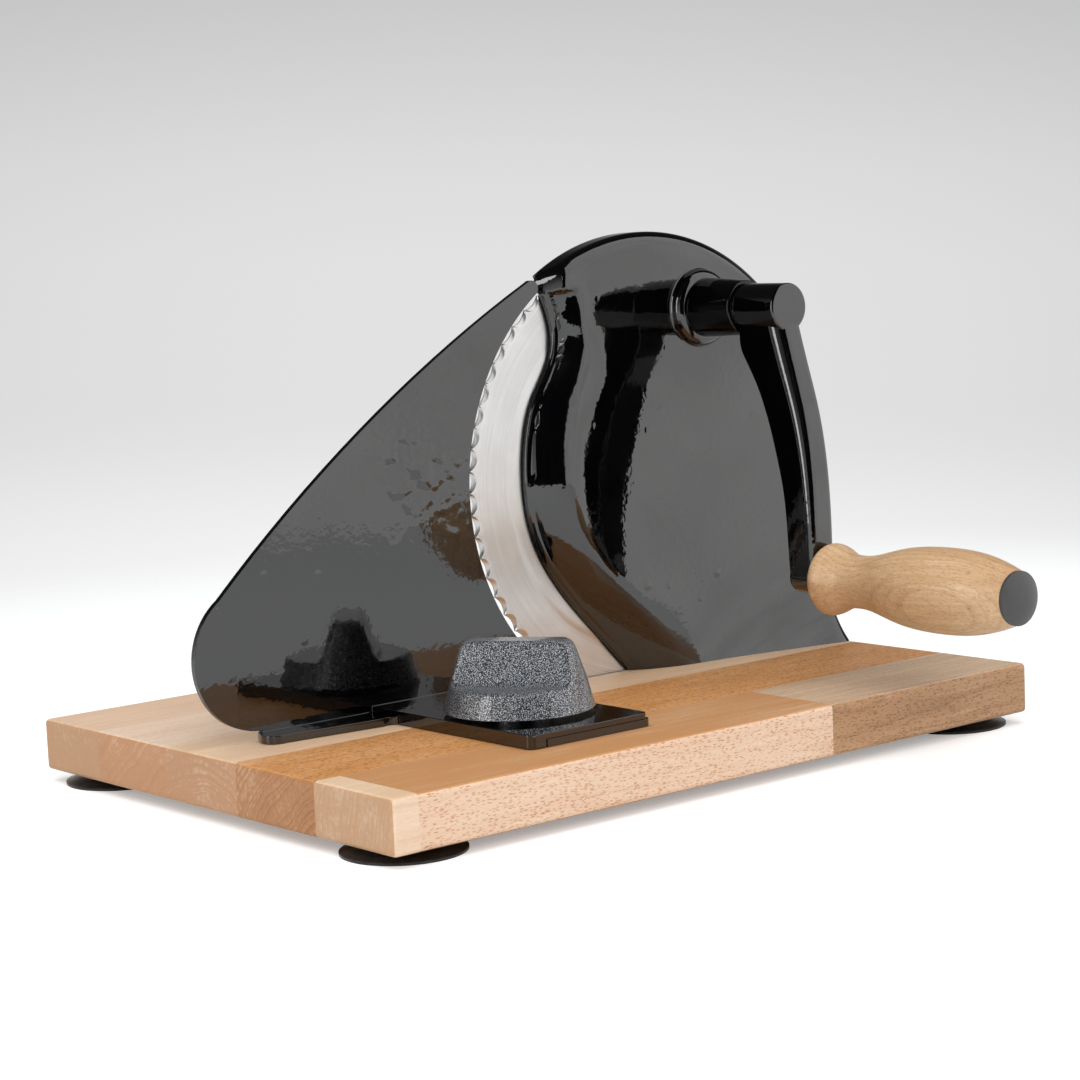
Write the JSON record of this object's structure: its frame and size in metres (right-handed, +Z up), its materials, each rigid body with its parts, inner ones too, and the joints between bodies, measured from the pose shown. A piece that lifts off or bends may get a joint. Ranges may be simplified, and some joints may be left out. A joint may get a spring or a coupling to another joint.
{
  "type": "bread slicer",
  "caption": "Hand-cranked bread slicer on a laminated wooden board, with a scalloped round blade, lacquered guard, sliding thickness fence and turned wooden crank grip.",
  "frame": {"origin": "centre of the slicer's footprint box, on the surface that the suction cups stand on", "axes": "+X along the board towards the guard, +Y away from the crank, towards the bread, +Z up"},
  "size_m": [0.3546, 0.313, 0.2233],
  "materials": {
    "beech_board": "oiled",
    "beech_grip": "varnished",
    "black_lacquer": "high gloss",
    "blade_steel": "fine brushed",
    "hammered_black": "hammered lacquer",
    "grey_cap": "satin",
    "black_rubber": "glossy",
    "plated_steel": "zinc plated",
    "gear_steel": "machined, oiled",
    "bronze": "turned"
  },
  "bodies": {
    "stand": {"base_board": "beech_board", "cup_front_left": "black_rubber", "cup_front_right": "black_rubber", "cup_rear_left": "black_rubber", "cup_rear_right": "black_rubber", "cup_screws": "plated_steel", "blade_housing": "black_lacquer", "housing_screws": "plated_steel", "crank_bush": "bronze", "blade_axle": "plated_steel", "blade_washer": "plated_steel", "blade_screw": "plated_steel", "guide_plate": "black_lacquer", "guide_screws": "plated_steel", "clamp_stud": "plated_steel", "clamp_washer": "plated_steel"},
    "blade": {"blade_disc": "blade_steel", "blade_gear": "gear_steel", "blade_hub": "bronze", "blade_rivets": "plated_steel"},
    "crank": {"crank_shaft": "plated_steel", "shaft_ring": "plated_steel", "drive_pinion": "gear_steel", "thrust_washer": "plated_steel", "crank_arm": "black_lacquer", "arm_set_screw": "plated_steel", "grip_spindle": "plated_steel", "spindle_nut": "plated_steel"},
    "grip": {"grip_wood": "beech_grip", "grip_cap": "grey_cap"},
    "fence": {"thickness_fence": "black_lacquer"},
    "knob": {"clamp_knob": "hammered_black", "knob_insert": "bronze"}
  },
  "joints": [
    {"name": "crank_turn", "type": "hinge", "parent": "stand", "child": "crank", "pos_m": [0.09917, -0.0155, 0.18798], "axis": [0, 1, 0], "continuous": true},
    {"name": "blade_spin", "type": "hinge", "parent": "stand", "child": "blade", "pos_m": [0.07245, 0.0395, 0.1155], "axis": [0, 1, 0], "continuous": true},
    {"name": "grip_spin", "type": "hinge", "parent": "crank", "child": "grip", "pos_m": [0.09917, -0.0985, 0.06998], "axis": [0, 1, 0], "continuous": true},
    {"name": "fence_slide", "type": "slide", "parent": "stand", "child": "fence", "axis": [0, -1, 0], "range_m": [0, 0.018]},
    {"name": "knob_turn", "type": "hinge", "parent": "stand", "child": "knob", "pos_m": [-0.05725, -0.0225, 0.0369], "axis": [0, 0, 1], "range_deg": [0, 180]}
  ],
  "couplings": [
    {"joint": "blade_spin", "follows": "crank_turn", "ratio": -0.2875}
  ]
}
